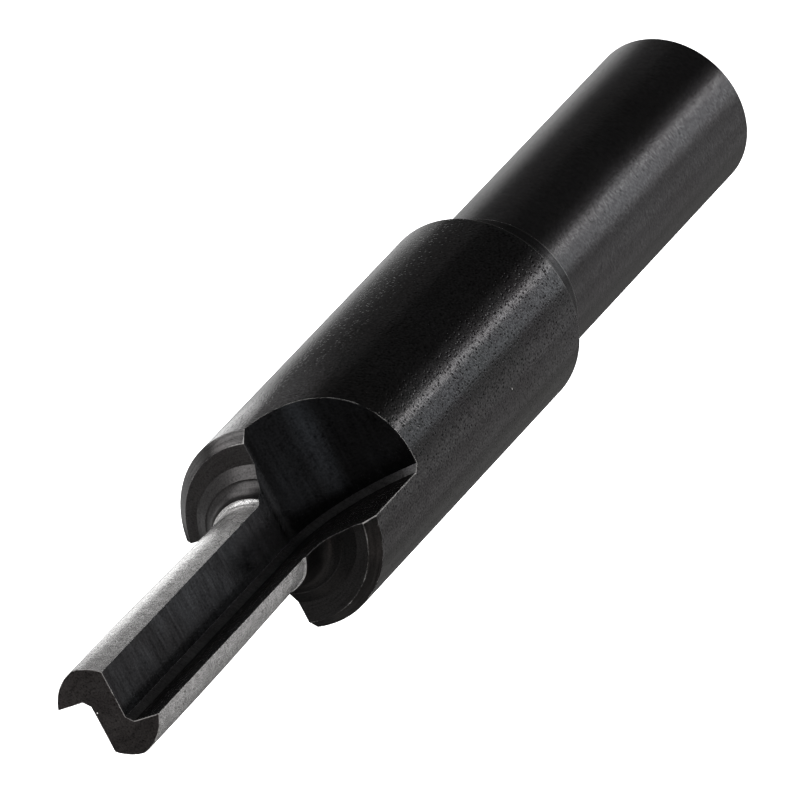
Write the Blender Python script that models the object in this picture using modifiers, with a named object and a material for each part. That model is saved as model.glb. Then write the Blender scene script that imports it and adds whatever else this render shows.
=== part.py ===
# Two-flute milling cutter for wood, turned, milled and ground from one bar of tool steel.
# It stands on the flat end of its shank with +Z up its axis, and the origin is the centre of that end.
# The flutes open towards +X and -X. Each rake face lies parallel to the XZ plane.
# It cuts when it turns counter-clockwise, seen from above the tip.

import math

import bmesh
import bpy
from mathutils import Matrix, Vector

MM = 0.001

# Shank, the part that a collet grips
SHANK_DIAMETER = 8.0 * MM
SHANK_LENGTH = 21.6 * MM
SHANK_END_CHAMFER = 0.5 * MM

# Neck at the root of the shank. The shank's grinding wheel doesn't reach it, so it stands proud.
NECK_STEP = 0.06 * MM
NECK_LENGTH = 1.8 * MM
SHOULDER_FILLET = 0.8 * MM

# Body
BODY_DIAMETER = 10.0 * MM
BODY_LENGTH = 21.85 * MM
BODY_FRONT_CHAMFER = 0.5 * MM
BODY_REAR_CHAMFER = 0.1 * MM

# Tip. Its diameter is that of the circle that the cutting edges run in. The bar is left thicker by
# the grinding stock, and the fillet at its root meets the body's flat front at a slope.
TIP_DIAMETER = 5.0 * MM
TIP_LENGTH = 17.2 * MM
GRINDING_STOCK = 0.08 * MM
FRONT_FILLET_RADIUS = 1.6 * MM
FRONT_FILLET_WIDTH = 0.8 * MM

# Flutes, each cut by the end and side of a mill that stops just in front of the body
FLUTE_COUNT = 2
WEB_THICKNESS = 1.4 * MM
RAKE_OFFSET = 0.75 * MM
FLUTE_CORNER_CHAMFER = 0.3 * MM
FLUTE_MILL_DIAMETER = 11.2 * MM
MILL_STOP_DISTANCE = 0.4 * MM

# Lands. Behind each cutting edge a margin falls slowly away from the edge's circle, and from the
# margin's end the back of the land is ground down to the heel. The margin narrows towards the body.
# Each land is ground by itself, so the two end at different distances from the body. The margin's
# fall is given for each radian, and the heel's is what it lies inside the cutting edges' circle.
MARGIN_ANGLE_AT_END = math.radians(55.0)
MARGIN_ANGLE_AT_ROOT = math.radians(15.0)
MARGIN_FALL = 0.1 * MM
HEEL_FALL = 0.53 * MM
LAND_BACK_RADIUS = 2.4 * MM
LAND_STOP_DISTANCES = (1.7 * MM, 0.9 * MM)
LAND_STOP_RADIUS = 0.25 * MM

# Facets
TURNING_STEPS = 120
FRONT_FILLET_STEPS = 10
SHOULDER_FILLET_STEPS = 5
MILL_ARC_STEPS = 24
LAND_STEPS = 30
LAND_SECTIONS = 10
LAND_STOP_STEPS = 4
SHARP_ANGLE = math.radians(28.0)
MERGE_DISTANCE = 0.00001

# What the cutters reach past the surfaces that they cut, and past the edges of the lands
CUT_MARGIN = 1.0 * MM
LAND_OVERRUN = math.radians(13.0)

SHOULDER_HEIGHT = SHANK_LENGTH
FRONT_HEIGHT = SHOULDER_HEIGHT + BODY_LENGTH
TIP_HEIGHT = FRONT_HEIGHT + TIP_LENGTH
BODY_RADIUS = BODY_DIAMETER / 2
TIP_RADIUS = TIP_DIAMETER / 2
CUTTER_REACH = BODY_RADIUS + CUT_MARGIN


def clear_scene():
    for old_object in list(bpy.data.objects):
        bpy.data.objects.remove(old_object)


def make_collection(name):
    collection = bpy.data.collections.new(name)
    bpy.context.scene.collection.children.link(collection)
    return collection


def make_material(name, base_color, roughness):
    material = bpy.data.materials.new(name)
    material.use_nodes = True
    shader = material.node_tree.nodes["Principled BSDF"]
    shader.inputs["Base Color"].default_value = (*base_color, 1.0)
    shader.inputs["Roughness"].default_value = roughness
    shader.inputs["Metallic"].default_value = 1.0
    material.diffuse_color = (*base_color, 1.0)
    return material


def add_object(name, mesh, collection, material):
    mesh.materials.append(material)
    new_object = bpy.data.objects.new(name, mesh)
    collection.objects.link(new_object)
    return new_object


def mark_as_cutter(cutter):
    cutter.hide_render = True
    cutter.display_type = "WIRE"


def cut(target, cutter):
    boolean = target.modifiers.new(cutter.name, "BOOLEAN")
    boolean.operation = "DIFFERENCE"
    boolean.solver = "EXACT"
    boolean.material_mode = "TRANSFER"
    boolean.object = cutter


def arc(center, radius, start, end, steps):
    """Points on an arc in a plane, from the start angle to the end angle, or a bare corner."""
    if radius < MERGE_DISTANCE:
        return [center]
    points = []
    for step in range(steps + 1):
        angle = start + (end - start) * step / steps
        points.append((center[0] + radius * math.cos(angle), center[1] + radius * math.sin(angle)))
    return points


def tip_profile():
    """Radius and height down the tip, from the centre of its end face to the body's flat front."""
    bar_radius = TIP_RADIUS + GRINDING_STOCK
    front_width = BODY_RADIUS - BODY_FRONT_CHAMFER - bar_radius
    fillet_width = min(FRONT_FILLET_WIDTH, FRONT_FILLET_RADIUS, front_width)
    sweep = math.acos((FRONT_FILLET_RADIUS - fillet_width) / FRONT_FILLET_RADIUS)
    center = (bar_radius + FRONT_FILLET_RADIUS, FRONT_HEIGHT + FRONT_FILLET_RADIUS * math.sin(sweep))
    fillet = arc(center, FRONT_FILLET_RADIUS, math.pi, math.pi + sweep, FRONT_FILLET_STEPS)
    return [(0.0, TIP_HEIGHT), (bar_radius, TIP_HEIGHT), *fillet]


def body_profile():
    """Radius and height down the body, from its front chamfer to the edge of its rear shoulder."""
    return [
        (BODY_RADIUS - BODY_FRONT_CHAMFER, FRONT_HEIGHT),
        (BODY_RADIUS, FRONT_HEIGHT - BODY_FRONT_CHAMFER),
        (BODY_RADIUS, SHOULDER_HEIGHT + BODY_REAR_CHAMFER),
        (BODY_RADIUS - BODY_REAR_CHAMFER, SHOULDER_HEIGHT),
    ]


def shank_profile():
    """Radius and height down the neck and the shank, from the shoulder to the centre of the end."""
    shank_radius = SHANK_DIAMETER / 2
    neck_radius = shank_radius + NECK_STEP
    shoulder_width = BODY_RADIUS - BODY_REAR_CHAMFER - neck_radius
    fillet_radius = max(0.0, min(SHOULDER_FILLET, shoulder_width))
    center = (neck_radius + fillet_radius, SHOULDER_HEIGHT - fillet_radius)
    fillet = arc(center, fillet_radius, math.pi / 2, math.pi, SHOULDER_FILLET_STEPS)
    neck_bottom = SHOULDER_HEIGHT - NECK_LENGTH
    return [
        *fillet,
        (neck_radius, neck_bottom),
        (shank_radius, neck_bottom - NECK_STEP),
        (shank_radius, SHANK_END_CHAMFER),
        (shank_radius - SHANK_END_CHAMFER, 0.0),
        (0.0, 0.0),
    ]


def turned_blank(name, collection, material):
    """The whole bar as it leaves the lathe: one profile turned about +Z."""
    profile = tip_profile() + body_profile() + shank_profile()
    mesh = bpy.data.meshes.new(name)
    vertices = [(radius, 0.0, height) for radius, height in profile]
    mesh.from_pydata(vertices, [(i, i + 1) for i in range(len(vertices) - 1)], [])
    blank = add_object(name, mesh, collection, material)
    screw = blank.modifiers.new("turn", "SCREW")
    screw.axis = "Z"
    screw.steps = TURNING_STEPS
    screw.render_steps = TURNING_STEPS
    screw.use_merge_vertices = True
    screw.merge_threshold = MERGE_DISTANCE
    return blank


def finish_mesh(name, shape):
    bmesh.ops.recalc_face_normals(shape, faces=shape.faces)
    mesh = bpy.data.meshes.new(name)
    shape.to_mesh(mesh)
    shape.free()
    return mesh


def prism_mesh(name, outline, to_space, depth, start_chamfer):
    """A flat outline extruded by depth, with a chamfer round its start."""
    prism = bmesh.new()
    start_face = prism.faces.new([prism.verts.new(to_space @ Vector((u, v, 0.0))) for u, v in outline])
    extruded = bmesh.ops.extrude_face_region(prism, geom=[start_face], use_keep_orig=True)
    end_vertices = [item for item in extruded["geom"] if isinstance(item, bmesh.types.BMVert)]
    bmesh.ops.translate(prism, verts=end_vertices, vec=to_space.to_3x3() @ Vector((0.0, 0.0, depth)))
    bmesh.ops.bevel(prism, geom=list(start_face.edges), offset=start_chamfer, segments=1,
                    profile=0.5, affect="EDGES", clamp_overlap=True)
    return finish_mesh(name, prism)


def loft_mesh(name, sections):
    """A closed body through sections that have the same number of points, each with its height."""
    loft = bmesh.new()
    rings = [[loft.verts.new((x, y, height)) for x, y in outline] for outline, height in sections]
    for lower, upper in zip(rings, rings[1:]):
        for index, corner in enumerate(lower):
            loft.faces.new((lower[index - 1], corner, upper[index], upper[index - 1]))
    loft.faces.new(rings[0])
    loft.faces.new(rings[-1])
    bmesh.ops.triangulate(loft, faces=loft.faces)
    return finish_mesh(name, loft)


def flute_outline():
    """X and Z of the space that the mill sweeps: straight down the tip, then a quarter of the mill."""
    mill_radius = FLUTE_MILL_DIAMETER / 2
    wall = WEB_THICKNESS / 2
    stop_height = FRONT_HEIGHT + MILL_STOP_DISTANCE
    top = TIP_HEIGHT + CUT_MARGIN
    outside = max(wall + mill_radius, BODY_RADIUS) + CUT_MARGIN
    run_out = arc((wall + mill_radius, stop_height), mill_radius, math.pi, 1.5 * math.pi, MILL_ARC_STEPS)
    return [(wall, top), *run_out, (outside, stop_height - mill_radius), (outside, top)]


def add_flutes(blank, collection, material):
    """The mill's end cuts the rake face, its side the long wall, and its corner the strip between."""
    upright = Matrix(((1, 0, 0, 0), (0, 0, 1, -RAKE_OFFSET), (0, 1, 0, 0), (0, 0, 0, 1)))
    for index in range(FLUTE_COUNT):
        name = f"flute_cutter_{index + 1}"
        mesh = prism_mesh(name, flute_outline(), upright, RAKE_OFFSET + CUTTER_REACH, FLUTE_CORNER_CHAMFER)
        mesh.transform(Matrix.Rotation(math.tau * index / FLUTE_COUNT, 4, "Z"))
        cutter = add_object(name, mesh, collection, material)
        mark_as_cutter(cutter)
        cut(blank, cutter)


def polar(radius, angle):
    return Vector((radius * math.cos(angle), radius * math.sin(angle)))


def land_points(height):
    """One land at a height, from before its cutting edge, along margin and back, to past its heel.
    It runs clockwise about +Z and starts near +X."""
    share = (height - FRONT_HEIGHT) / TIP_LENGTH
    margin_angle = MARGIN_ANGLE_AT_ROOT + (MARGIN_ANGLE_AT_END - MARGIN_ANGLE_AT_ROOT) * share
    heel_radius = TIP_RADIUS - HEEL_FALL
    edge_angle = -math.asin(RAKE_OFFSET / TIP_RADIUS)
    heel_angle = -math.acos(-WEB_THICKNESS / 2 / heel_radius)
    margin_end = polar(TIP_RADIUS - MARGIN_FALL * margin_angle, edge_angle - margin_angle)
    half_chord = (polar(heel_radius, heel_angle) - margin_end) / 2
    back_radius = max(LAND_BACK_RADIUS, half_chord.length)
    inwards = Vector((half_chord.y, -half_chord.x)).normalized()
    back_center = margin_end + half_chord + inwards * math.sqrt(back_radius ** 2 - half_chord.length ** 2)

    points = []
    start = edge_angle + LAND_OVERRUN
    end = heel_angle - LAND_OVERRUN
    for step in range(LAND_STEPS + 1):
        angle = start + (end - start) * step / LAND_STEPS
        behind_edge = edge_angle - angle
        radius = TIP_RADIUS - MARGIN_FALL * behind_edge
        if behind_edge > margin_angle:
            along = back_center.dot(polar(1.0, angle))
            radius = along + math.sqrt(along ** 2 + back_radius ** 2 - back_center.length_squared)
        points.append(polar(radius, angle))
    return points


def lands_outline(height, outwards):
    """Both lands at a height, moved outwards. The lines that join them lie in the flutes."""
    points = []
    for index in range(FLUTE_COUNT):
        turn = Matrix.Rotation(math.tau * index / FLUTE_COUNT, 2)
        for point in land_points(height):
            points.append(turn @ (point + point.normalized() * outwards))
    return points


def lands_form(name, stop_height):
    """The tip that the lands belong to. At its foot it widens on the grinding wheel's corner."""
    land_foot = stop_height + LAND_STOP_RADIUS
    sections = [(lands_outline(stop_height, LAND_STOP_RADIUS), stop_height - CUT_MARGIN)]
    for step in range(LAND_STOP_STEPS):
        angle = math.pi / 2 * (step + 0.5) / LAND_STOP_STEPS
        height = land_foot - LAND_STOP_RADIUS * math.cos(angle)
        outwards = LAND_STOP_RADIUS - LAND_STOP_RADIUS * math.sin(angle)
        sections.append((lands_outline(height, outwards), height))
    above_tip = TIP_HEIGHT + 2 * CUT_MARGIN
    for section in range(LAND_SECTIONS + 1):
        height = land_foot + (above_tip - land_foot) * section / LAND_SECTIONS
        sections.append((lands_outline(height, 0.0), height))
    return loft_mesh(name, sections)


def grind_lands(blank, collection, black, ground):
    """Takes away what lies outside each land, from above the tip to the grinding wheel's stop."""
    top = TIP_HEIGHT + CUT_MARGIN
    for index, stop_distance in enumerate(LAND_STOP_DISTANCES):
        stop_height = FRONT_HEIGHT + stop_distance
        form_name = f"land_form_{index + 1}"
        land_form = add_object(form_name, lands_form(form_name, stop_height), collection, ground)
        mark_as_cutter(land_form)

        half_block = bmesh.new()
        size = (2 * CUTTER_REACH, CUTTER_REACH, top - stop_height, 1.0)
        center = Matrix.Translation((0.0, -CUTTER_REACH / 2, (top + stop_height) / 2))
        turn = Matrix.Rotation(math.tau * index / FLUTE_COUNT, 4, "Z")
        bmesh.ops.create_cube(half_block, size=1.0, matrix=turn @ center @ Matrix.Diagonal(size))
        cutter_name = f"land_cutter_{index + 1}"
        land_cutter = add_object(cutter_name, finish_mesh(cutter_name, half_block), collection, black)
        mark_as_cutter(land_cutter)
        cut(land_cutter, land_form)
        cut(blank, land_cutter)


def apply_and_shade(tool):
    """Keeps the finished mesh, smooth but for its real edges."""
    evaluated = tool.evaluated_get(bpy.context.evaluated_depsgraph_get())
    mesh = bpy.data.meshes.new_from_object(evaluated)
    tool.modifiers.clear()
    tool.data = mesh
    mesh.name = tool.name
    mesh.shade_smooth()
    mesh.set_sharp_from_angle(angle=SHARP_ANGLE)


def main():
    clear_scene()
    parts = make_collection("wood_milling_cutter")
    cutters = make_collection("wood_milling_cutter_cutters")
    black_oxide = make_material("black_oxide_steel", (0.022, 0.021, 0.022), 0.42)
    ground_steel = make_material("ground_steel", (0.42, 0.41, 0.40), 0.38)

    tool = turned_blank("milling_cutter", parts, black_oxide)
    grind_lands(tool, cutters, black_oxide, ground_steel)
    add_flutes(tool, cutters, black_oxide)
    apply_and_shade(tool)


main()
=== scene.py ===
# Looks of the two-flute milling cutter: one bar of tool steel, turned, blackened, blasted, milled and ground.
# Sizes are in millimetres and become metres where they are used. +Z runs up the axis to the tip.

import math

import bmesh
import bpy
from mathutils import Matrix, Quaternion, Vector


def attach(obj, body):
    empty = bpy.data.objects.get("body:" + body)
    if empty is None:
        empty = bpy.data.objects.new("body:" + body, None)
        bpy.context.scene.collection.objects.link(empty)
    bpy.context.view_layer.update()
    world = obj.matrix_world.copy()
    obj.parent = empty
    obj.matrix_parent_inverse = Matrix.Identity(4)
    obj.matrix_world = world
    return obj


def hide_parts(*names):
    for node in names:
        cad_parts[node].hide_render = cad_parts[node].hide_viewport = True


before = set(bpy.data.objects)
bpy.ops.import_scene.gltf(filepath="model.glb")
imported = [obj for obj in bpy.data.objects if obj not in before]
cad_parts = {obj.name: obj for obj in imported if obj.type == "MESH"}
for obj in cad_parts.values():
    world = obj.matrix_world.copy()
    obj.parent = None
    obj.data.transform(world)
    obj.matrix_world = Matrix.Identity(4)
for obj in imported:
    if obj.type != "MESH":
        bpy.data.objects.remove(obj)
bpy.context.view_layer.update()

mm = 0.001
mmPerMetre = 1000
near = 0.01  # places closer than this many mm count as one
square = 0.99  # a face whose normal reaches this along an axis lies square to it
halfTurns = (0, math.pi)  # the two flutes and the two lands lie half a turn apart


# Small helpers

def deselectAll():
    if bpy.context.object and bpy.context.object.mode != "OBJECT":
        bpy.ops.object.mode_set(mode="OBJECT")
    bpy.ops.object.select_all(action="DESELECT")


def makeActive(piece):
    deselectAll()
    piece.select_set(True)
    bpy.context.view_layer.objects.active = piece


# Puts the place, turn and size of the selected piece into its mesh
def applyPlace():
    bpy.ops.object.transform_apply(location=True, rotation=True, scale=True)


# Selects the edges or faces that pass a test, on a piece in edit mode
def selectWhere(piece, kind, test):
    bpy.ops.mesh.select_mode(type=kind)
    bpy.ops.mesh.select_all(action="DESELECT")
    shape = bmesh.from_edit_mesh(piece.data)
    parts = shape.edges if kind == "EDGE" else shape.faces
    for part in parts:
        part.select_set(test(part))
    bmesh.update_edit_mesh(piece.data)


def cutWith(target, tool):
    makeActive(target)
    bpy.ops.object.modifier_add(type="BOOLEAN")
    boolean = target.modifiers[-1]
    boolean.operation = "DIFFERENCE"
    boolean.solver = "EXACT"
    boolean.material_mode = "TRANSFER"
    boolean.object = tool
    bpy.ops.object.modifier_apply(modifier=boolean.name)
    bpy.data.objects.remove(tool)


def polar(radius, angle):
    return Vector((radius * math.cos(angle), radius * math.sin(angle)))


# Points on an arc between two angles in degrees
def arcPoints(centre, radius, start, end, steps):
    angles = [math.radians(start + (end - start) * step / steps) for step in range(steps + 1)]
    return [Vector(centre) + polar(radius, angle) for angle in angles]


# Node helpers, which take a socket or a plain value for each input

def feed(tree, source, target):
    if isinstance(source, bpy.types.NodeSocket):
        tree.links.new(source, target)
    else:
        target.default_value = source


# A node at a place, with its settings and its inputs by name or number
def addNode(tree, kind, place, inputs=None, **settings):
    node = tree.nodes.new(kind)
    node.location = place
    for name, value in settings.items():
        setattr(node, name, value)
    for name, source in (inputs or {}).items():
        feed(tree, source, node.inputs[name])
    return node


def maths(tree, place, operation, *sources):
    node = addNode(tree, "ShaderNodeMath", place, dict(enumerate(sources)), operation=operation)
    return node.outputs[0]


def vectorMaths(tree, place, operation, inputs, output="Vector"):
    return addNode(tree, "ShaderNodeVectorMath", place, inputs, operation=operation).outputs[output]


# The source, with one range of its values stretched onto another
def mapRange(tree, place, source, spread, onto=(0, 1), interpolation="SMOOTHSTEP"):
    inputs = {
        "Value": source,
        "From Min": spread[0], "From Max": spread[1],
        "To Min": onto[0], "To Max": onto[1],
    }
    node = addNode(tree, "ShaderNodeMapRange", place, inputs, interpolation_type=interpolation)
    return node.outputs["Result"]


def noise(tree, place, inputs, **settings):
    return addNode(tree, "ShaderNodeTexNoise", place, inputs, **settings).outputs["Fac"]


def objectPlace(tree, place):
    return addNode(tree, "ShaderNodeTexCoord", place).outputs["Object"]


# A node group of plain numbers, with the sockets that it is given and those that take its results
def startGroup(name, inputs, outputs):
    group = bpy.data.node_groups.new(name, "ShaderNodeTree")
    for socketName, value in inputs.items():
        socket = group.interface.new_socket(socketName, in_out="INPUT", socket_type="NodeSocketFloat")
        socket.default_value = value
    for socketName in outputs:
        group.interface.new_socket(socketName, in_out="OUTPUT", socket_type="NodeSocketFloat")
    start = addNode(group, "NodeGroupInput", (-1200, 0))
    end = addNode(group, "NodeGroupOutput", (600, 0))
    return group, start.outputs, end.inputs


# Steel finishes. Each effect is a node group, and each finish sets its own values on it.

# Fine lines that a tool leaves round the axis: along +Z, and along the radius on faces square to it
def makeToolLines():
    group, given, result = startGroup(
        "toolLines", {"Lines per mm": 8.0, "Length in mm": 2.0, "On faces": 0.0}, ["Lines"])
    place = objectPlace(group, (-1200, 300))
    inMm = vectorMaths(group, (-1000, 300), "SCALE", {0: place, "Scale": mmPerMetre})
    split = addNode(group, "ShaderNodeSeparateXYZ", (-800, 300), {0: inMm})
    across = vectorMaths(group, (-800, 100), "MULTIPLY", {0: inMm, 1: (1, 1, 0)})
    radius = vectorMaths(group, (-600, 0), "LENGTH", {0: across}, "Value")
    length = given["Length in mm"]
    lengths = addNode(group, "ShaderNodeCombineXYZ", (-800, -100), {0: length, 1: length, 2: 1})
    spread = vectorMaths(group, (-600, 200), "DIVIDE", {0: across, 1: lengths.outputs[0]})
    upLines = maths(group, (-600, 400), "MULTIPLY", split.outputs["Z"], given["Lines per mm"])
    raised = addNode(group, "ShaderNodeCombineXYZ", (-400, 400), {2: upLines})
    linePlace = vectorMaths(group, (-200, 300), "ADD", {0: spread, 1: raised.outputs[0]})
    radial = maths(group, (-400, 0), "MULTIPLY", radius, given["On faces"])
    radialLines = maths(group, (-200, 0), "MULTIPLY", radial, given["Lines per mm"])
    lines = noise(
        group, (0, 200),
        {"Vector": linePlace, "W": radialLines, "Scale": 1.0, "Detail": 3.0, "Roughness": 0.6},
        noise_dimensions="4D")
    feed(group, lines, result["Lines"])
    return group


pitting = {
    "chosenBelow": 0.55,  # cells with a lower random value hold a pit
    "slope": (0.12, 0.45),  # where a pit's floor ends and where its rim is, as shares of the pit size
}


# Grain of a blasted or ground surface, and the small pits in it
def makeBlastGrain():
    group, given, result = startGroup(
        "blastGrain", {"Size in mm": 0.08, "Pit size in mm": 0.2}, ["Grain", "Pits"])
    place = objectPlace(group, (-1200, 300))
    perGrain = maths(group, (-1000, 100), "DIVIDE", mmPerMetre, given["Size in mm"])
    perPit = maths(group, (-1000, -100), "DIVIDE", mmPerMetre, given["Pit size in mm"])
    grain = noise(group, (-700, 200), {"Vector": place, "Scale": perGrain, "Detail": 3.0, "Roughness": 0.65})
    pits = addNode(group, "ShaderNodeTexVoronoi", (-700, -100),
                   {"Vector": place, "Scale": perPit, "Randomness": 1.0}, feature="F1")
    chosen = maths(group, (-400, -200), "LESS_THAN", pits.outputs["Color"], pitting["chosenBelow"])
    depth = mapRange(group, (-400, 0), pits.outputs["Distance"], pitting["slope"], onto=(1, 0))
    feed(group, grain, result["Grain"])
    feed(group, maths(group, (-100, -100), "MULTIPLY", depth, chosen), result["Pits"])
    return group


edgeWear = {
    "chipsPerMetre": 1500.0,
    "slope": (0.08, 0.3),  # closeness to the edge where bare steel starts, and where it is whole
}
edgeSamples = 8  # rays that look for edges and inner corners


# Bare steel where an outer edge is rubbed or chipped, broken up along its length
def makeWornEdges():
    group, given, result = startGroup(
        "wornEdges", {"Width in mm": 0.06, "Wear": 0.5, "Chips": 0.5}, ["Bare"])
    width = maths(group, (-1000, 200), "MULTIPLY", given["Width in mm"], mm)
    rim = addNode(group, "ShaderNodeAmbientOcclusion", (-800, 200), {"Distance": width},
                  samples=edgeSamples, inside=True, only_local=True)
    nearEdge = maths(group, (-600, 200), "SUBTRACT", 1, rim.outputs["AO"])
    place = objectPlace(group, (-1200, -100))
    chips = noise(group, (-800, -100),
                  {"Vector": place, "Scale": edgeWear["chipsPerMetre"], "Detail": 5.0, "Roughness": 0.7})
    centred = maths(group, (-600, -100), "SUBTRACT", chips, 0.5)
    broken = maths(group, (-400, -100), "MULTIPLY_ADD", centred, given["Chips"], 1)
    total = maths(group, (-200, 100), "MULTIPLY", nearEdge, broken)
    worn = mapRange(group, (0, 100), total, edgeWear["slope"])
    feed(group, maths(group, (200, 100), "MULTIPLY", worn, given["Wear"]), result["Bare"])
    return group


# How open a point is: painted shade, which darkens the colour towards inner corners, where less light gets in
def makePaintedCornerShade():
    group, given, result = startGroup("paintedCornerShade", {"Reach in mm": 1.0, "Strength": 1.0}, ["Shade"])
    reach = maths(group, (-900, 0), "MULTIPLY", given["Reach in mm"], mm)
    openness = addNode(group, "ShaderNodeAmbientOcclusion", (-700, 0), {"Distance": reach},
                       samples=edgeSamples, only_local=True)
    shade = maths(group, (-400, 0), "POWER", openness.outputs["AO"], given["Strength"])
    feed(group, shade, result["Shade"])
    return group


# A few tiny bright specks, of bare steel or dust
def makeSpecks():
    group, given, result = startGroup(
        "specks", {"Spacing in mm": 1.2, "Size": 0.06, "Share": 0.2}, ["Specks"])
    place = objectPlace(group, (-1200, 200))
    perCell = maths(group, (-1000, 0), "DIVIDE", mmPerMetre, given["Spacing in mm"])
    cells = addNode(group, "ShaderNodeTexVoronoi", (-800, 100),
                    {"Vector": place, "Scale": perCell, "Randomness": 1.0}, feature="F1")
    close = maths(group, (-500, 200), "LESS_THAN", cells.outputs["Distance"], given["Size"])
    chosen = maths(group, (-500, 0), "LESS_THAN", cells.outputs["Color"], given["Share"])
    feed(group, maths(group, (-200, 100), "MULTIPLY", close, chosen), result["Specks"])
    return group


toolLines = makeToolLines()
blastGrain = makeBlastGrain()
wornEdges = makeWornEdges()
specks = makeSpecks()
paintedCornerShade = makePaintedCornerShade()

# dark and light are the finish's own colours, and patch is the size in mm of its slow changes, which also
# take roughness from its first value to its second. lines, grain, edges, specks and the corner shade are the
# inputs of the groups above, in their order; the corner shade is painted shade, darker in inner corners. A
# tone says how far lines, grain or pits change the colour, and a height how many mm they rise or sink.
steelFinishes = {
    "groundShank": {
        "dark": (0.122, 0.117, 0.119), "light": (0.15, 0.147, 0.15), "patch": 5.0, "metallic": 1.0,
        "roughness": (0.2, 0.25), "lines": (17.0, 0.22, 0.0), "lineTone": 0.62, "lineHeight": 0.004,
        "grain": (0.06, 0.2), "grainTone": 0.4, "grainHeight": 0.003, "pitTone": 0.2, "pitHeight": 0.002,
        "edges": (0.06, 0.45, 6.0), "specks": (1.6, 0.035, 0.12), "paintedShade": (1.0, 0.6),
    },
    "neckRing": {
        "dark": (0.078, 0.076, 0.077), "light": (0.1, 0.098, 0.1), "patch": 2.0, "metallic": 1.0,
        "roughness": (0.22, 0.28), "lines": (9.0, 6.0, 0.0), "lineTone": 0.3, "lineHeight": 0.004,
        "grain": (0.08, 0.2), "grainTone": 0.3, "grainHeight": 0.003, "pitTone": 0.2, "pitHeight": 0.002,
        "edges": (0.08, 0.5, 4.0), "specks": (1.2, 0.04, 0.05), "paintedShade": (1.0, 0.8),
    },
    "blastedBody": {
        "dark": (0.11, 0.106, 0.107), "light": (0.13, 0.128, 0.13), "patch": 4.0, "metallic": 1.0,
        "roughness": (0.12, 0.15), "lines": (9.0, 1.5, 0.0), "lineTone": 0.05, "lineHeight": 0.0003,
        "grain": (0.1, 0.16), "grainTone": 0.95, "grainHeight": 0.0045, "pitTone": 0.75, "pitHeight": 0.007,
        "edges": (0.08, 0.7, 6.0), "specks": (1.5, 0.03, 0.1), "paintedShade": (1.0, 0.6),
    },
    "turnedChamfer": {
        "dark": (0.105, 0.1, 0.1), "light": (0.15, 0.147, 0.147), "patch": 3.0, "metallic": 1.0,
        "roughness": (0.24, 0.3), "lines": (12.0, 2.0, 0.5), "lineTone": 0.6, "lineHeight": 0.004,
        "grain": (0.08, 0.2), "grainTone": 0.4, "grainHeight": 0.003, "pitTone": 0.2, "pitHeight": 0.002,
        "edges": (0.09, 0.75, 6.0), "specks": (1.4, 0.03, 0.06), "paintedShade": (1.0, 0.6),
    },
    "turnedFront": {
        "dark": (0.11, 0.105, 0.105), "light": (0.145, 0.142, 0.142), "patch": 3.0, "metallic": 1.0,
        "roughness": (0.28, 0.34), "lines": (12.0, 2.0, 1.0), "lineTone": 0.2, "lineHeight": 0.002,
        "grain": (0.08, 0.2), "grainTone": 0.4, "grainHeight": 0.003, "pitTone": 0.2, "pitHeight": 0.002,
        "edges": (0.06, 0.12, 7.0), "specks": (1.4, 0.03, 0.1), "paintedShade": (1.0, 0.9),
    },
    "milledFlute": {
        "dark": (0.092, 0.09, 0.094), "light": (0.118, 0.12, 0.127), "patch": 2.5, "metallic": 1.0,
        "roughness": (0.14, 0.18), "lines": (6.0, 3.0, 0.0), "lineTone": 0.35, "lineHeight": 0.001,
        "grain": (0.1, 0.25), "grainTone": 0.6, "grainHeight": 0.003, "pitTone": 0.25, "pitHeight": 0.002,
        "edges": (0.06, 0.15, 7.0), "specks": (1.6, 0.045, 0.1), "paintedShade": (2.0, 1.3),
    },
    "milledCorner": {
        "dark": (0.22, 0.215, 0.22), "light": (0.3, 0.295, 0.3), "patch": 1.5, "metallic": 1.0,
        "roughness": (0.3, 0.38), "lines": (7.0, 6.0, 0.0), "lineTone": 0.3, "lineHeight": 0.003,
        "grain": (0.09, 0.25), "grainTone": 0.4, "grainHeight": 0.004, "pitTone": 0.2, "pitHeight": 0.003,
        "edges": (0.05, 0.1, 6.0), "specks": (1.6, 0.04, 0.05), "paintedShade": (1.5, 0.8),
    },
    "groundLand": {
        "dark": (0.6, 0.59, 0.585), "light": (0.78, 0.77, 0.765), "patch": 0.4, "metallic": 0.87,
        "roughness": (0.2, 0.25), "lines": (9.0, 4.0, 0.0), "lineTone": 0.15, "lineHeight": 0.0015,
        "grain": (0.055, 0.17), "grainTone": 0.8, "grainHeight": 0.0025, "pitTone": 0.4, "pitHeight": 0.002,
        "edges": (0.05, 0.3, 4.0), "specks": (1.4, 0.04, 0.08), "paintedShade": (1.0, 0.5),
    },
    "cutEnd": {
        "dark": (0.178, 0.162, 0.16), "light": (0.23, 0.213, 0.211), "patch": 1.0, "metallic": 1.0,
        "roughness": (0.32, 0.42), "lines": (8.0, 3.0, 0.6), "lineTone": 0.25, "lineHeight": 0.003,
        "grain": (0.09, 0.2), "grainTone": 0.6, "grainHeight": 0.004, "pitTone": 0.3, "pitHeight": 0.003,
        "edges": (0.06, 0.5, 7.0), "specks": (0.9, 0.04, 0.25), "paintedShade": (1.0, 0.6),
    },
}
# the rake face and the long wall are milled like the scoop, but the rake's edges are rubbed and chipped more,
# and the mill's lines stand out on the wall
steelFinishes["milledRake"] = {
    **steelFinishes["milledFlute"], "dark": (0.125, 0.12, 0.12), "light": (0.16, 0.155, 0.155),
    "metallic": 0.97, "edges": (0.07, 0.6, 7.0),
}
steelFinishes["milledWall"] = {
    **steelFinishes["milledFlute"], "lines": (6.0, 1.2, 0.0), "lineTone": 0.6, "lineHeight": 0.0015,
}
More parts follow.
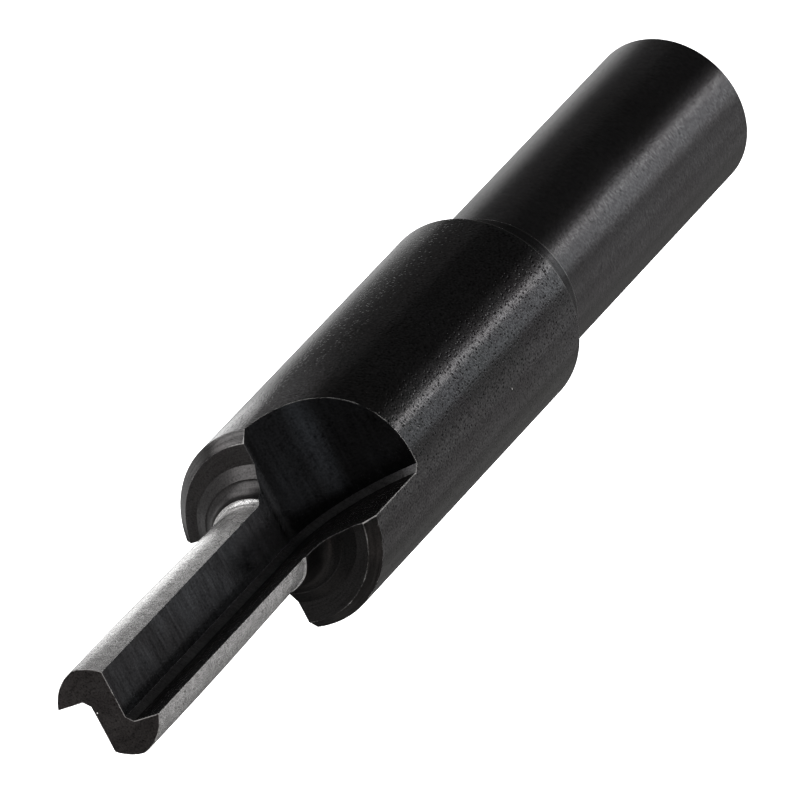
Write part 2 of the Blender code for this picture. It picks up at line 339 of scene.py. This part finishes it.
# the rear rims of the neck ring and of the body are rubbed to a light line
steelFinishes["rubbedRim"] = {
    **steelFinishes["turnedChamfer"], "dark": (0.21, 0.205, 0.205), "light": (0.28, 0.275, 0.275),
    "lineTone": 0.1, "edges": (0.09, 0.25, 6.0),
}
bareSteel = {"colour": (0.6, 0.585, 0.57), "metallic": 0.65, "rougher": 0.15}
patchRange = (0.35, 0.65)  # values of the noise at a finish's dark and light patches
leastTone = 0.1  # keeps the deepest pits and lines from turning black
edgeRounding = 0.035  # radius in mm that the shading gives each edge


def steelMaterial(name):
    finish = steelFinishes[name]
    material = bpy.data.materials.new(name)
    material.use_nodes = True
    tree = material.node_tree
    shader = tree.nodes["Principled BSDF"].inputs

    def placeGroup(group, place, values):
        return addNode(tree, "ShaderNodeGroup", place, dict(enumerate(values)), node_tree=group).outputs

    lines = placeGroup(toolLines, (-1500, 200), finish["lines"])["Lines"]
    grain = placeGroup(blastGrain, (-1500, 0), finish["grain"])
    worn = placeGroup(wornEdges, (-1500, -200), finish["edges"])["Bare"]
    dots = placeGroup(specks, (-1500, -400), finish["specks"])["Specks"]
    paintedShade = placeGroup(paintedCornerShade, (-1500, -600), finish["paintedShade"])["Shade"]
    place = objectPlace(tree, (-1700, 500))
    patches = noise(tree, (-1500, 500), {
        "Vector": place, "Scale": mmPerMetre / finish["patch"], "Detail": 2.0, "Roughness": 0.5})
    slow = mapRange(tree, (-1300, 500), patches, patchRange, interpolation="LINEAR")

    # the finish's own colour, made lighter and darker by the lines, the grain and the pits, and darkened
    # towards inner corners as painted shade. Lines and grain vary about a half, and at a half they leave the
    # colour as it is.
    ownColour = addNode(
        tree, "ShaderNodeMix", (-1000, 500),
        {"Factor": slow, "A": (*finish["dark"], 1), "B": (*finish["light"], 1)},
        data_type="RGBA")
    steady = 1 - 2 * finish["lineTone"] - 2 * finish["grainTone"]
    tone = maths(tree, (-1200, 300), "MULTIPLY_ADD", lines, 4 * finish["lineTone"], steady)
    tone = maths(tree, (-1000, 300), "MULTIPLY_ADD", grain["Grain"], 4 * finish["grainTone"], tone)
    tone = maths(tree, (-800, 300), "MULTIPLY_ADD", grain["Pits"], -finish["pitTone"], tone)
    tone = maths(tree, (-600, 300), "MAXIMUM", tone, leastTone)
    # painted shade: the colour is darkened towards inner corners, where less light reaches
    tone = maths(tree, (-500, 200), "MULTIPLY", tone, paintedShade)
    toned = vectorMaths(tree, (-400, 400), "SCALE", {0: ownColour.outputs["Result"], "Scale": tone})
    bare = maths(tree, (-600, -200), "MAXIMUM", worn, dots)
    colour = addNode(
        tree, "ShaderNodeMix", (-200, 300),
        {"Factor": bare, "A": toned, "B": (*bareSteel["colour"], 1)},
        data_type="RGBA")
    feed(tree, colour.outputs["Result"], shader["Base Color"])

    lessMetallic = bareSteel["metallic"] - finish["metallic"]
    metallic = maths(tree, (-200, 100), "MULTIPLY_ADD", bare, lessMetallic, finish["metallic"])
    feed(tree, metallic, shader["Metallic"])
    smoothest, roughest = finish["roughness"]
    roughness = maths(tree, (-400, 0), "MULTIPLY_ADD", slow, roughest - smoothest, smoothest)
    roughness = maths(tree, (-200, -50), "MULTIPLY_ADD", bare, bareSteel["rougher"], roughness)
    feed(tree, roughness, shader["Roughness"])

    height = maths(tree, (-1000, -100), "MULTIPLY", lines, finish["lineHeight"])
    height = maths(tree, (-800, -100), "MULTIPLY_ADD", grain["Grain"], finish["grainHeight"], height)
    height = maths(tree, (-600, -400), "MULTIPLY_ADD", grain["Pits"], -finish["pitHeight"], height)
    rounded = addNode(tree, "ShaderNodeBevel", (-400, -500), {"Radius": edgeRounding * mm}, samples=4)
    bump = addNode(
        tree, "ShaderNodeBump", (-200, -300),
        {"Height": height, "Normal": rounded.outputs["Normal"], "Strength": 1.0, "Distance": mm})
    feed(tree, bump.outputs["Normal"], shader["Normal"])
    return material


steel = {name: steelMaterial(name) for name in steelFinishes}
print("steel finishes made:", len(steel))


def addFinishes(piece, names):
    for name in names:
        piece.data.materials.append(steel[name])


# The turned bar

bar = {
    "sides": 360,
    "shankRadius": 4.0,
    "shankChamfer": 0.5,
    "neckRadius": 4.06,
    "neckFrom": 19.8,
    "neckSlope": 0.06,  # height over which the shank steps out to the neck ring
    "shoulderHeight": 21.6,
    "shoulderFillet": 0.8,
    "filletSteps": 12,
    "bodyRadius": 5.0,
    "rearChamfer": 0.1,
    "rimWear": 0.06,  # how far past their slopes the rims of the neck ring and the body are rubbed
    "frontHeight": 43.45,
    "frontChamfer": 0.5,
    "chamferOverrun": 0.05,  # the chamfer runs on a little, in stock that is cut away later
    "tipHeight": 60.65,
}


# Radius and height up the bar, from the shank's end to the tip
def barProfile():
    fillet = bar["shoulderFillet"]
    filletCentre = (bar["neckRadius"] + fillet, bar["shoulderHeight"] - fillet)
    stockRadius = bar["bodyRadius"] - bar["frontChamfer"] - bar["chamferOverrun"]
    return [
        (bar["shankRadius"] - bar["shankChamfer"], 0),
        (bar["shankRadius"], bar["shankChamfer"]),
        (bar["shankRadius"], bar["neckFrom"] - bar["neckSlope"]),
        (bar["neckRadius"], bar["neckFrom"]),
        (bar["neckRadius"], bar["neckFrom"] + bar["rimWear"]),
        *arcPoints(filletCentre, fillet, 180, 90, bar["filletSteps"]),
        (bar["bodyRadius"] - bar["rearChamfer"], bar["shoulderHeight"]),
        (bar["bodyRadius"], bar["shoulderHeight"] + bar["rearChamfer"]),
        (bar["bodyRadius"], bar["shoulderHeight"] + bar["rearChamfer"] + bar["rimWear"]),
        (bar["bodyRadius"], bar["frontHeight"] - bar["frontChamfer"]),
        (stockRadius, bar["frontHeight"] + bar["chamferOverrun"]),
        (stockRadius, bar["tipHeight"]),
    ]


def modelBar():
    profile = barProfile()
    deselectAll()
    radius, height = profile[0]
    bpy.ops.mesh.primitive_circle_add(vertices=bar["sides"], radius=radius * mm, fill_type="NGON",
                                      location=(0, 0, height * mm))
    piece = bpy.context.object
    piece.name = "cutterSteel"
    bpy.ops.object.mode_set(mode="EDIT")
    bpy.ops.mesh.select_mode(type="FACE")
    for nextRadius, nextHeight in profile[1:]:
        bpy.ops.mesh.extrude_region_move(
            TRANSFORM_OT_translate={"value": (0, 0, (nextHeight - height) * mm)})
        scale = nextRadius / radius
        bpy.ops.transform.resize(value=(scale, scale, 1), center_override=(0, 0, nextHeight * mm))
        radius, height = nextRadius, nextHeight
    bpy.ops.mesh.select_all(action="SELECT")
    bpy.ops.mesh.normals_make_consistent(inside=False)
    bpy.ops.object.mode_set(mode="OBJECT")
    return piece


# Gives each face of the bar its finish, by its height
def finishBar(piece):
    finishes = ("groundShank", "rubbedRim", "neckRing", "blastedBody", "turnedChamfer", "cutEnd")
    addFinishes(piece, finishes)
    bodyRimEnd = bar["shoulderHeight"] + bar["rearChamfer"] + bar["rimWear"]
    # heights where each finish but the first begins
    starts = (bar["neckFrom"] - bar["neckSlope"], bar["neckFrom"] + bar["rimWear"], bodyRimEnd,
              bar["frontHeight"] - bar["frontChamfer"], bar["tipHeight"] - near)
    for face in piece.data.polygons:
        height = face.center.z / mm
        face.material_index = sum(height > start for start in starts)
        if bar["shoulderHeight"] + near < height < bodyRimEnd:
            face.material_index = finishes.index("rubbedRim")


# The flutes

flute = {
    "rakeOffset": 0.75,
    "halfWeb": 0.7,
    "millRadius": 5.6,
    "millStop": 43.85,
    "cornerChamfer": 0.3,
    "reach": 1.0,  # how far each cutting form stands clear of the bar
    "arcSteps": 48,
    "flatWall": 0.9999,  # sideways normal that the long wall reaches, and no facet of the scoop
    "leaning": 0.3,  # normal towards the rake that the sloping strip passes, and no wall
}


# The space that the mill sweeps: its end makes the rake face, its side the long wall and the scoop
def modelFluteTool(turn):
    low = flute["millStop"] - flute["millRadius"]
    high = bar["tipHeight"] + flute["reach"]
    corner = Vector((flute["halfWeb"], -flute["rakeOffset"], low))
    size = Vector((
        flute["millRadius"] + flute["reach"],
        flute["rakeOffset"] + bar["bodyRadius"] + flute["reach"],
        high - low,
    ))

    def atCorner(edge):
        middle = (edge.verts[0].co + edge.verts[1].co) / 2 / mm
        return abs(middle.x - corner.x) < near and abs(middle.z - corner.z) < near

    def onRake(face):
        return face.normal.y < -square

    deselectAll()
    bpy.ops.mesh.primitive_cube_add(size=1, location=(corner + size / 2) * mm, scale=size * mm)
    tool = bpy.context.object
    applyPlace()
    bpy.ops.object.mode_set(mode="EDIT")
    selectWhere(tool, "EDGE", atCorner)
    bpy.ops.mesh.bevel(offset=flute["millRadius"] * mm, segments=flute["arcSteps"], affect="EDGES")
    selectWhere(tool, "FACE", onRake)
    bpy.ops.mesh.bevel(offset=flute["cornerChamfer"] * mm, segments=1, affect="EDGES")
    bpy.ops.object.mode_set(mode="OBJECT")
    finishes = ("milledFlute", "milledCorner", "milledRake", "milledWall")
    addFinishes(tool, finishes)
    for face in tool.data.polygons:
        if face.normal.x < -flute["flatWall"]:
            face.material_index = finishes.index("milledWall")
        elif onRake(face):
            face.material_index = finishes.index("milledRake")
        elif face.normal.y < -flute["leaning"]:
            face.material_index = finishes.index("milledCorner")
    tool.rotation_euler = (0, 0, turn)
    applyPlace()
    return tool


# The lands

land = {
    "edgeRadius": 2.5,
    "marginAtEnd": 55,  # degrees that the margin takes up at the tip and at the body
    "marginAtRoot": 15,
    "marginFall": 0.1,  # mm that the margin falls in each radian behind the cutting edge
    "heelFall": 0.53,  # how far the heel lies inside the cutting edge's circle
    "backRadius": 2.4,
    "stops": (45.7, 44.42),  # where the wheel ends each land
    "stopRadii": (0.1, 0.27),
    "lead": 1,  # how far a ground form reaches behind its stop
    "pastTip": 2,
    "overrun": 13,  # degrees that the outline runs on before the edge and past the heel
    "steps": 60,
    "sections": 24,
    "stopSteps": 8,
}
# the blackened root in front of the body: height, and how far it stands outside the ground lands
rootShape = [
    (43.4, 1.55), (43.45, 1.46), (43.5, 1.371), (43.6, 1.193), (43.7, 1.015), (43.77, 0.89), (43.764, 0.85),
    (43.775, 0.81), (43.815, 0.74), (43.85, 0.66), (43.9, 0.58), (43.97, 0.48), (44.07, 0.385), (44.2, 0.305),
    (44.35, 0.24), (44.55, 0.175), (44.8, 0.125), (45.2, 0.08), (46.0, 0.06), (62.0, 0.06),
]


# One land at a height, from before its cutting edge to past its heel. Behind the margin, its back is an arc
# from the margin's end to the heel.
def landCurve(height):
    share = (height - bar["frontHeight"]) / (bar["tipHeight"] - bar["frontHeight"])
    margin = math.radians(land["marginAtRoot"] + (land["marginAtEnd"] - land["marginAtRoot"]) * share)
    heelRadius = land["edgeRadius"] - land["heelFall"]
    edgeAngle = -math.asin(flute["rakeOffset"] / land["edgeRadius"])
    heelAngle = -math.acos(-flute["halfWeb"] / heelRadius)
    marginEnd = polar(land["edgeRadius"] - land["marginFall"] * margin, edgeAngle - margin)
    halfChord = (polar(heelRadius, heelAngle) - marginEnd) / 2
    inwards = Vector((halfChord.y, -halfChord.x)).normalized()
    backCentre = marginEnd + halfChord + inwards * math.sqrt(land["backRadius"] ** 2 - halfChord.length ** 2)
    start = edgeAngle + math.radians(land["overrun"])
    end = heelAngle - math.radians(land["overrun"])
    points = []
    for step in range(land["steps"] + 1):
        angle = start + (end - start) * step / land["steps"]
        behind = edgeAngle - angle
        radius = land["edgeRadius"] - land["marginFall"] * behind
        if behind > margin:
            along = backCentre.dot(polar(1, angle))
            radius = along + math.sqrt(along ** 2 + land["backRadius"] ** 2 - backCentre.length_squared)
        points.append(polar(radius, angle))
    return points


# The ring of both lands at a height, moved outwards
def bothLands(height, outwards):
    points = []
    for turn in halfTurns:
        for point in landCurve(height):
            points.append(Matrix.Rotation(turn, 2) @ (point + point.normalized() * outwards))
    return points


# Moves the selected ring onto the points, in order of their angle about the axis
def placeRing(tool, points, height):
    shape = bmesh.from_edit_mesh(tool.data)
    ring = sorted((v for v in shape.verts if v.select), key=lambda v: math.atan2(v.co.y, v.co.x))
    for vertex, point in zip(ring, sorted(points, key=lambda p: math.atan2(p.y, p.x))):
        vertex.co = (point.x * mm, point.y * mm, height * mm)
    bmesh.update_edit_mesh(tool.data)


# A closed form of both lands, lofted through rings of height and outward distance
def modelForm(rings, finish):
    deselectAll()
    points = bothLands(*rings[0])
    bpy.ops.mesh.primitive_circle_add(vertices=len(points), radius=land["edgeRadius"] * mm,
                                      fill_type="NGON", location=(0, 0, 0))
    form = bpy.context.object
    bpy.ops.object.mode_set(mode="EDIT")
    bpy.ops.mesh.select_mode(type="FACE")
    bpy.ops.mesh.select_all(action="SELECT")
    placeRing(form, points, rings[0][0])
    for (lastHeight, _), (height, outwards) in zip(rings, rings[1:]):
        bpy.ops.mesh.extrude_region_move(
            TRANSFORM_OT_translate={"value": (0, 0, (height - lastHeight) * mm)})
        placeRing(form, bothLands(height, outwards), height)
    bpy.ops.mesh.select_all(action="SELECT")
    bpy.ops.mesh.quads_convert_to_tris(quad_method="SHORTEST_DIAGONAL", ngon_method="BEAUTY")
    bpy.ops.mesh.normals_make_consistent(inside=False)
    bpy.ops.object.mode_set(mode="OBJECT")
    addFinishes(form, [finish])
    return form


# Rings of a ground form: a quarter round at its stop, then both lands up past the tip
def groundRings(stop, stopRadius):
    foot = stop + stopRadius
    top = bar["tipHeight"] + land["pastTip"]
    rings = [(stop - land["lead"], stopRadius)]
    for step in range(land["stopSteps"]):
        angle = math.pi / 2 * (step + 0.5) / land["stopSteps"]
        rings.append((foot - stopRadius * math.cos(angle), stopRadius * (1 - math.sin(angle))))
    for section in range(land["sections"] + 1):
        rings.append((foot + (top - foot) * section / land["sections"], 0))
    return rings


# A block from a height up past the tip, less a form. Given a turn, it is a half block that takes in one land.
def modelBlock(form, bottom, turn=None):
    reach = bar["bodyRadius"] + flute["reach"]
    top = bar["tipHeight"] + flute["reach"]
    depth = 2 * reach if turn is None else reach
    shift = 0 if turn is None else -reach / 2
    deselectAll()
    bpy.ops.mesh.primitive_cube_add(size=1, location=(0, shift * mm, (top + bottom) / 2 * mm),
                                    scale=(2 * reach * mm, depth * mm, (top - bottom) * mm))
    block = bpy.context.object
    applyPlace()
    addFinishes(block, ["turnedFront"])
    block.rotation_euler = (0, 0, turn or 0)
    applyPlace()
    cutWith(block, form)
    return block


# The cutter

finishing = {
    "mergeWithin": 0.0005,
    "sharpAngle": 28,  # edges that turn by more degrees stay sharp
}

cutter = modelBar()
finishBar(cutter)
print("bar turned:", len(cutter.data.polygons), "faces")
cutWith(cutter, modelBlock(modelForm(rootShape, "turnedFront"), bar["frontHeight"]))
for turn, stop, stopRadius in zip(halfTurns, land["stops"], land["stopRadii"]):
    cutWith(cutter, modelBlock(modelForm(groundRings(stop, stopRadius), "groundLand"), stop, turn))
print("lands ground:", len(cutter.data.polygons), "faces")
for turn in halfTurns:
    cutWith(cutter, modelFluteTool(turn))
print("flutes milled:", len(cutter.data.polygons), "faces")

makeActive(cutter)
bpy.ops.object.mode_set(mode="EDIT")
bpy.ops.mesh.select_all(action="SELECT")
bpy.ops.mesh.remove_doubles(threshold=finishing["mergeWithin"] * mm)
bpy.ops.mesh.normals_make_consistent(inside=False)
bpy.ops.object.mode_set(mode="OBJECT")
bpy.ops.object.shade_smooth_by_angle(angle=math.radians(finishing["sharpAngle"]))
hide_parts("milling_cutter")
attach(cutter, "root")
print("cutter finished:", len(cutter.data.vertices), "points")

# The studio

studio = {
    "centre": (0, 0, 30),
    "distance": 900,
    "floorSize": 3000,
    "floorColour": (0.9, 0.9, 0.9),
    "floorRoughness": 0.9,
    "overheadSize": 1200,
    "overheadHeight": 1000,
    "overheadPower": 40,
    "worldColour": (1, 1, 1),
    "worldStrength": 0.04,
}
white = (1, 1, 1)
# azimuth, elevation, and width and height as seen from the cutter, all in degrees, then brightness and colour
panels = {
    "keyNarrow": (8.6, -53, 3.3, 24, 2.1, white),
    "keyFade": (15, -53, 4.6, 24, 0.26, white),
    "keyTail": (25, -53, 7.2, 24, 0.07, white),
    "keyBroad": (-6, -53, 14.2, 24, 0.52, (0.9, 0.96, 1)),
    "keyShade": (-27, -53, 11, 24, 0.2, white),
    "lowSideNear": (-46.5, -53, 12.6, 24, 0.31, white),
    "lowSideMiddle": (-73.5, -53, 20, 24, 0.225, (1, 0.98, 0.98)),
    "lowSideFar": (-104, -53, 17, 24, 0.13, (1, 0.98, 0.96)),
    "lowSideLast": (-131, -53, 16.5, 24, 0.08, (1, 0.98, 0.96)),
    "backEdge": (180, -34, 17, 90, 0.5, white),
    "backInner": (164, -34, 3.9, 90, 0.34, white),
    "backMiddle": (157, -34, 5.2, 90, 0.2, white),
    "backShade": (146.5, -40, 8.2, 70, 0.11, white),
    "backFaint": (132.5, -40, 9.5, 70, 0.06, white),
    "lowBackSide": (107.5, -53, 21.5, 24, 0.035, (1, 0.97, 0.97)),
    "sideStrip": (123, 10, 34, 30, 1.15, white),
    "rootPanel": (124, 42, 22, 26, 1.5, white),
    "rootFill": (156, 26, 42, 26, 0.25, white),
    "chamferFill": (160, -6, 24, 22, 0.4, white),
    "rightFill": (-88, 5, 70, 50, 0.065, (1, 0.94, 0.9)),
    "rightChamfer": (-50, 22, 30, 20, 0.09, (1, 0.88, 0.8)),
    "topPanel": (-156, 51, 30, 30, 0.036, (1, 0.97, 0.96)),
    "scoopLow": (-15, -11, 16, 46, 0.045, (0.9, 0.95, 1)),
    "scoopHigh": (-15, 21.7, 18, 19.4, 0.11, (0.85, 0.93, 1)),
}
# cards close to the cutter, each by the height that it faces: height, distance, then as above
cards = {
    "landCard": (53.5, 50, 157, -53, 23.4, 14, 0.85, white),
    "landFill": (53.5, 50, 116, -53, 26.7, 14, 0.16, white),
    "frontCard": (43.45, 50, -174.5, 50, 21.6, 20, 0.22, (1, 0.97, 0.96)),
    "shankSideCard": (11.5, 50, 147, -53, 18, 22, 0.25, white),
    "shankKeyCard": (11.5, 50, -8, -53, 16, 22, 0.35, white),
}


def direction(azimuth, elevation):
    azimuth, elevation = math.radians(azimuth), math.radians(elevation)
    return Vector((math.cos(elevation) * math.cos(azimuth), math.cos(elevation) * math.sin(azimuth),
                   math.sin(elevation)))


# A light that shows only in reflections, equally bright at every size
def addPanel(name, centre, distance, azimuth, elevation, width, height, brightness, colour):
    light = bpy.data.lights.new(name, "AREA")
    light.shape = "RECTANGLE"
    light.size = 2 * distance * mm * math.tan(math.radians(width / 2))
    light.size_y = 2 * distance * mm * math.tan(math.radians(height / 2))
    light.energy = brightness * math.pi * light.size * light.size_y
    light.color = colour
    lamp = bpy.data.objects.new(name, light)
    bpy.context.scene.collection.objects.link(lamp)
    away = direction(azimuth, elevation)
    lamp.location = (Vector(centre) + away * distance) * mm
    lamp.rotation_mode = "QUATERNION"
    lamp.rotation_quaternion = away.to_track_quat("Z", "Y")
    lamp.visible_camera = False
    lamp.visible_diffuse = False


def layFloor():
    deselectAll()
    bpy.ops.mesh.primitive_plane_add(size=studio["floorSize"] * mm)
    floor = bpy.context.object
    floor.name = "floor"
    paint = bpy.data.materials.new("floorPaint")
    paint.use_nodes = True
    shader = paint.node_tree.nodes["Principled BSDF"].inputs
    shader["Base Color"].default_value = (*studio["floorColour"], 1)
    shader["Roughness"].default_value = studio["floorRoughness"]
    floor.data.materials.append(paint)
    floor.visible_glossy = False
    floor.visible_shadow = False
    return floor


# A light above, for the floor, which the steel doesn't mirror
def hangOverhead():
    light = bpy.data.lights.new("overhead", "AREA")
    light.size = studio["overheadSize"] * mm
    light.energy = studio["overheadPower"]
    light.use_shadow = False
    lamp = bpy.data.objects.new("overhead", light)
    lamp.location = (0, 0, studio["overheadHeight"] * mm)
    lamp.visible_camera = False
    lamp.visible_glossy = False
    bpy.context.scene.collection.objects.link(lamp)


def lightWorld():
    world = bpy.data.worlds.new("studioWorld")
    bpy.context.scene.world = world
    world.use_nodes = True
    background = world.node_tree.nodes["Background"].inputs
    background["Color"].default_value = (*studio["worldColour"], 1)
    background["Strength"].default_value = studio["worldStrength"]


for name, values in panels.items():
    addPanel(name, studio["centre"], studio["distance"], *values)
for name, (height, distance, *values) in cards.items():
    addPanel(name, (0, 0, height), distance, *values)
floor = layFloor()
hangOverhead()
lightWorld()
print("studio lit:", len(panels), "panels and", len(cards), "cards")

# The camera

view = {
    "aim": (-0.025, 0.058, 30.262),
    "azimuth": 23.546,
    "elevation": 52.117,
    "distance": 706.11,
    "roll": -136.75,
    "lens": 702.63,
    "sensorWidth": 36,
    "nearest": 10,
    "farthest": 20000,
}


def placeCamera():
    lens = bpy.data.cameras.new("camera")
    lens.lens = view["lens"]
    lens.sensor_width = view["sensorWidth"]
    lens.clip_start = view["nearest"] * mm
    lens.clip_end = view["farthest"] * mm
    camera = bpy.data.objects.new("camera", lens)
    bpy.context.scene.collection.objects.link(camera)
    away = direction(view["azimuth"], view["elevation"])
    roll = Quaternion((0, 0, 1), math.radians(view["roll"]))
    camera.location = (Vector(view["aim"]) + away * view["distance"]) * mm
    camera.rotation_mode = "QUATERNION"
    camera.rotation_quaternion = away.to_track_quat("Z", "Y") @ roll
    bpy.context.scene.camera = camera


placeCamera()
bpy.context.scene.view_settings.view_transform = "Standard"
print("camera placed")
